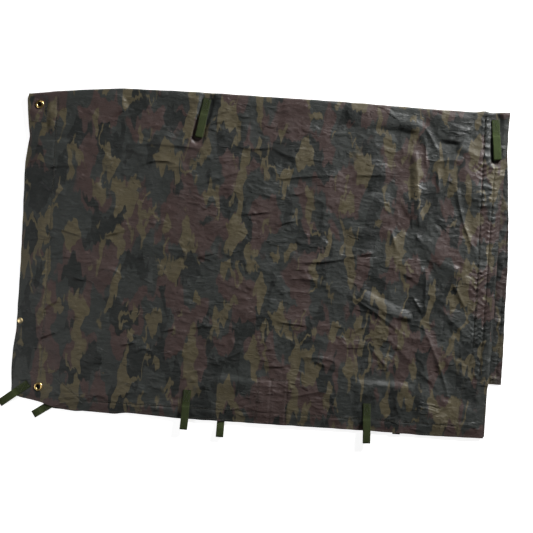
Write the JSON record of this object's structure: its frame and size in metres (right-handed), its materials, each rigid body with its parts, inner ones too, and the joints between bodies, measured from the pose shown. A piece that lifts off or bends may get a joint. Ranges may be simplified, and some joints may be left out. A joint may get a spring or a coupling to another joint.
{
  "type": "layout field blind",
  "caption": "Frameless layout blind: a coated camouflage nylon cover folded in half, with webbing peg loops, brass eyelets and a press stud.",
  "frame": {"origin": "middle of the lower leaf's underside, on the ground", "axes": "+X along the ridge, towards the side flap; +Y towards the ridge; +Z away from the ground"},
  "size_m": [1.3239, 0.9102, 0.0152],
  "materials": {
    "camo_nylon": "woodland print, coated and slightly shiny",
    "webbing": "woven, matt",
    "brass": "bright, pressed"
  },
  "bodies": {
    "lower_leaf": {"lower_panel": "camo_nylon", "ridge_fold": "camo_nylon", "lower_left_hem": "camo_nylon", "lower_bottom_hem": "camo_nylon", "side_flap": "camo_nylon", "loop_base_lower_left": "webbing", "loop_base_lower_middle": "webbing", "loop_lower_right": "webbing", "snap_stud": "brass", "snap_post": "brass"},
    "upper_leaf": {"upper_panel": "camo_nylon", "upper_left_hem": "camo_nylon", "upper_right_hem": "camo_nylon", "upper_bottom_hem": "camo_nylon", "corner_patch_top": "camo_nylon", "corner_patch_bottom": "camo_nylon", "centre_patch": "camo_nylon", "eyelet_top": "brass", "eyelet_top_washer": "brass", "eyelet_bottom": "brass", "eyelet_bottom_washer": "brass", "snap_cap": "brass", "snap_socket": "brass", "loop_base_top_middle": "webbing", "loop_base_top_right": "webbing", "loop_base_corner": "webbing", "loop_base_bottom_middle": "webbing", "loop_base_bottom_right": "webbing"},
    "eye_top_middle": {"loop_eye_top_middle": "webbing"},
    "eye_top_right": {"loop_eye_top_right": "webbing"},
    "eye_corner": {"loop_eye_corner": "webbing"},
    "eye_bottom_middle": {"loop_eye_bottom_middle": "webbing"},
    "eye_bottom_right": {"loop_eye_bottom_right": "webbing"},
    "eye_lower_left": {"loop_eye_lower_left": "webbing"},
    "eye_lower_middle": {"loop_eye_lower_middle": "webbing"}
  },
  "joints": [
    {"name": "ridge_fold_hinge", "type": "hinge", "parent": "lower_leaf", "child": "upper_leaf", "pos_m": [0, 0.441, 0.0077], "axis": [-1, 0, 0], "range_deg": [0, 180]},
    {"name": "eye_top_middle_swing", "type": "hinge", "parent": "upper_leaf", "child": "eye_top_middle", "pos_m": [-0.169, 0.384, 0.009], "axis": [-0.9877, 0.1564, 0], "range_deg": [0, 120]},
    {"name": "eye_top_right_swing", "type": "hinge", "parent": "upper_leaf", "child": "eye_top_right", "pos_m": [0.604, 0.38, 0.009], "axis": [-0.9945, -0.1045, 0], "range_deg": [0, 120]},
    {"name": "eye_corner_swing", "type": "hinge", "parent": "upper_leaf", "child": "eye_corner", "pos_m": [-0.613, -0.386, 0.009], "axis": [-0.6157, 0.788, 0], "range_deg": [0, 120]},
    {"name": "eye_bottom_middle_swing", "type": "hinge", "parent": "upper_leaf", "child": "eye_bottom_middle", "pos_m": [-0.164, -0.388, 0.009], "axis": [-0.9994, 0.0349, 0], "range_deg": [0, 120]},
    {"name": "eye_bottom_right_swing", "type": "hinge", "parent": "upper_leaf", "child": "eye_bottom_right", "pos_m": [0.315, -0.391, 0.009], "axis": [-0.9986, -0.0523, 0], "range_deg": [0, 120]},
    {"name": "eye_lower_left_swing", "type": "hinge", "parent": "lower_leaf", "child": "eye_lower_left", "pos_m": [-0.54, -0.426, 0.0038], "axis": [-0.5592, 0.829, 0], "range_deg": [0, 90]},
    {"name": "eye_lower_middle_swing", "type": "hinge", "parent": "lower_leaf", "child": "eye_lower_middle", "pos_m": [-0.069, -0.431, 0.0038], "axis": [-0.9998, 0.0175, 0], "range_deg": [0, 90]}
  ]
}
